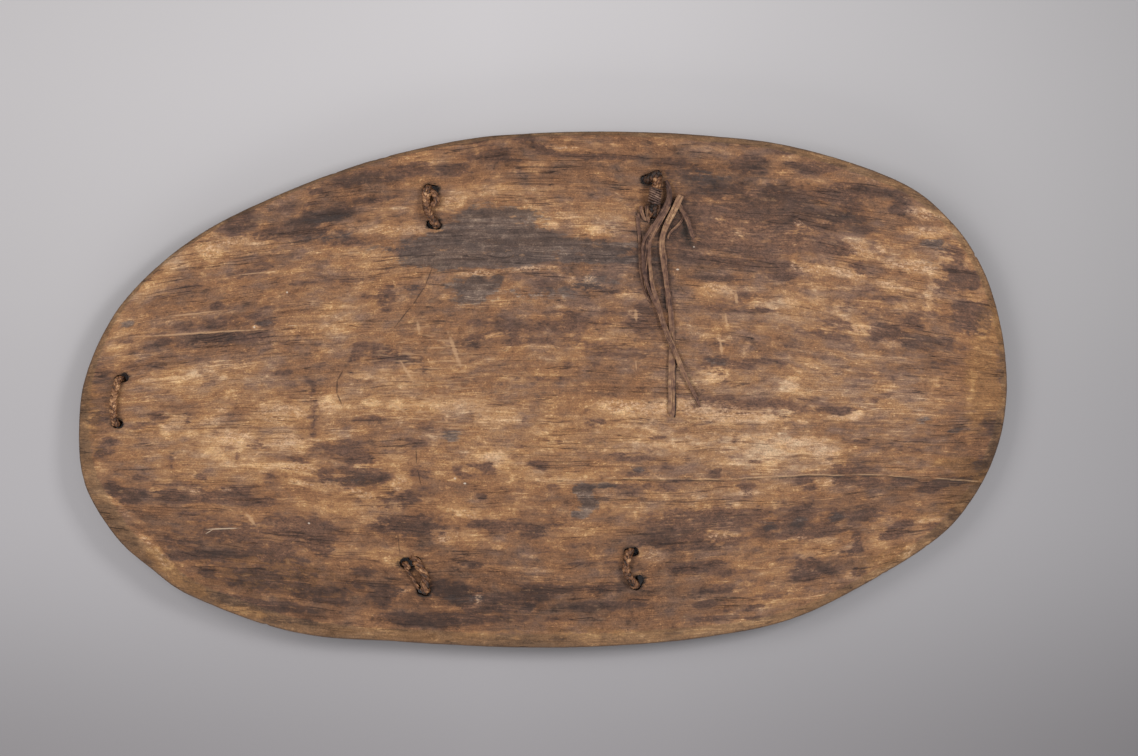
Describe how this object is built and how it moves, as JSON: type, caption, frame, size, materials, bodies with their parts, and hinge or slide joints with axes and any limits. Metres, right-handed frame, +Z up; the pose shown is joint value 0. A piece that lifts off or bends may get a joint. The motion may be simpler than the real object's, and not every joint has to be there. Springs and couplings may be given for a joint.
{
  "type": "wooden war shield",
  "caption": "Oval carved wooden war shield lying on its front, with bark cord lashings through burnt holes and the torn strips of its carrying sling on the back.",
  "frame": {"origin": "on the floor under the middle of the board, which lies on its front", "axes": "+Z up out of the shield's back, +X along the grain and the long axis towards the fuller end, +Y across the board towards the sling's lashing"},
  "size_m": [1.22, 0.678, 0.0532],
  "materials": {
    "weathered_wood": "hand-carved, worn and weathered bare wood, with dark patina patches",
    "plaited_cord": "dry plaited bark and vine cord, matt and fibrous",
    "binding_twine": "fine twine wound tightly, grey-brown with age",
    "bark_strip": "dry split bark strips, grey-brown to tan"
  },
  "bodies": {
    "root": {"board": "weathered_wood", "end_loop": "plaited_cord", "upper_left_lashing": "plaited_cord", "lower_left_lashing": "plaited_cord", "lower_right_lashing": "plaited_cord", "sling_lashing": "plaited_cord", "lower_left_strand": "plaited_cord", "sling_binding": "binding_twine", "sling_strip_left": "bark_strip", "sling_strip_right": "bark_strip", "sling_strip_short": "bark_strip", "sling_fibre_left": "bark_strip", "sling_fibre_cross": "bark_strip", "tucked_end_1": "bark_strip", "tucked_end_2": "bark_strip"}
  },
  "joints": []
}
